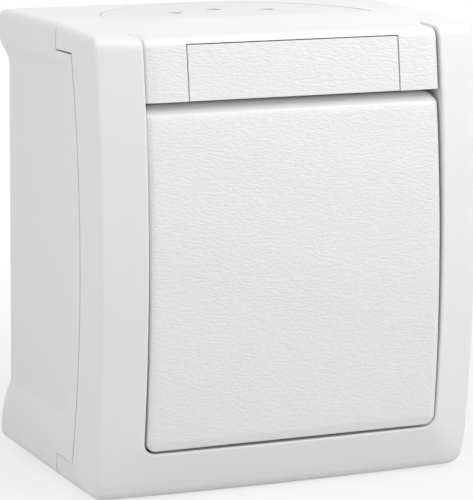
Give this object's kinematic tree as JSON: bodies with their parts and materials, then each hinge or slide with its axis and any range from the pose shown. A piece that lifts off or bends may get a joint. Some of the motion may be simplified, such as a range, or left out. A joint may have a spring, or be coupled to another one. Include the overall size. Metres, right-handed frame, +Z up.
{
  "type": "outdoor weatherproof light switch",
  "caption": "Surface-mounted weatherproof light switch with a bowed frame, a grained rocker that tilts, a label strip above it and pierceable cable entries.",
  "frame": {"origin": "centre of the back face, which lies on the wall", "axes": "+X to the right seen from the front, +Y into the wall, +Z up; the front faces -Y"},
  "size_m": [0.066, 0.0478, 0.0746],
  "materials": {
    "case_plastic": "satin white",
    "grained_plastic": "fine leather grain, white",
    "entry_membrane": "soft matt white",
    "seal_rubber": "matt",
    "housing_plastic": "matt grey",
    "toggle_plastic": "natural",
    "spring_steel": "bright",
    "contact_brass": "bright",
    "contact_silver": "bright",
    "screw_steel": "zinc plated"
  },
  "bodies": {
    "case": {"base_box": "case_plastic", "front_frame": "case_plastic", "label_carrier": "grained_plastic", "label_plate": "grained_plastic", "cable_entry_top": "entry_membrane", "cable_entry_bottom": "entry_membrane", "frame_gasket": "seal_rubber", "rocker_seal": "seal_rubber", "mechanism_body": "housing_plastic", "mechanism_cover": "housing_plastic", "common_terminal": "contact_brass", "output_terminal": "contact_brass", "fixed_contact_tip": "contact_silver", "terminal_clamps": "screw_steel", "terminal_screws": "screw_steel", "mechanism_screws": "screw_steel", "frame_screws": "screw_steel"},
    "rocker": {"rocker": "grained_plastic", "cradle": "toggle_plastic", "plunger_spring": "spring_steel"},
    "plunger": {"plunger": "toggle_plastic"},
    "lever": {"contact_lever": "contact_brass", "moving_contact_tip": "contact_silver"}
  },
  "joints": [
    {"name": "rocker_tilt", "type": "hinge", "parent": "case", "child": "rocker", "pos_m": [0, -0.041, -0.00185], "axis": [1, 0, 0], "range_deg": [0, 6.5]},
    {"name": "lever_tilt", "type": "hinge", "parent": "case", "child": "lever", "pos_m": [0, -0.023, -0.00185], "axis": [1, 0, 0], "range_deg": [-10.4, 0]},
    {"name": "plunger_slide", "type": "slide", "parent": "rocker", "child": "plunger", "axis": [0, -0.9984, 0.0567], "range_m": [0, 0.0008], "stiffness_N_per_m": 200, "springref_m": -0.002, "deforming": ["plunger_spring"]}
  ],
  "couplings": [
    {"joint": "lever_tilt", "follows": "rocker_tilt", "ratio": -1.6}
  ]
}
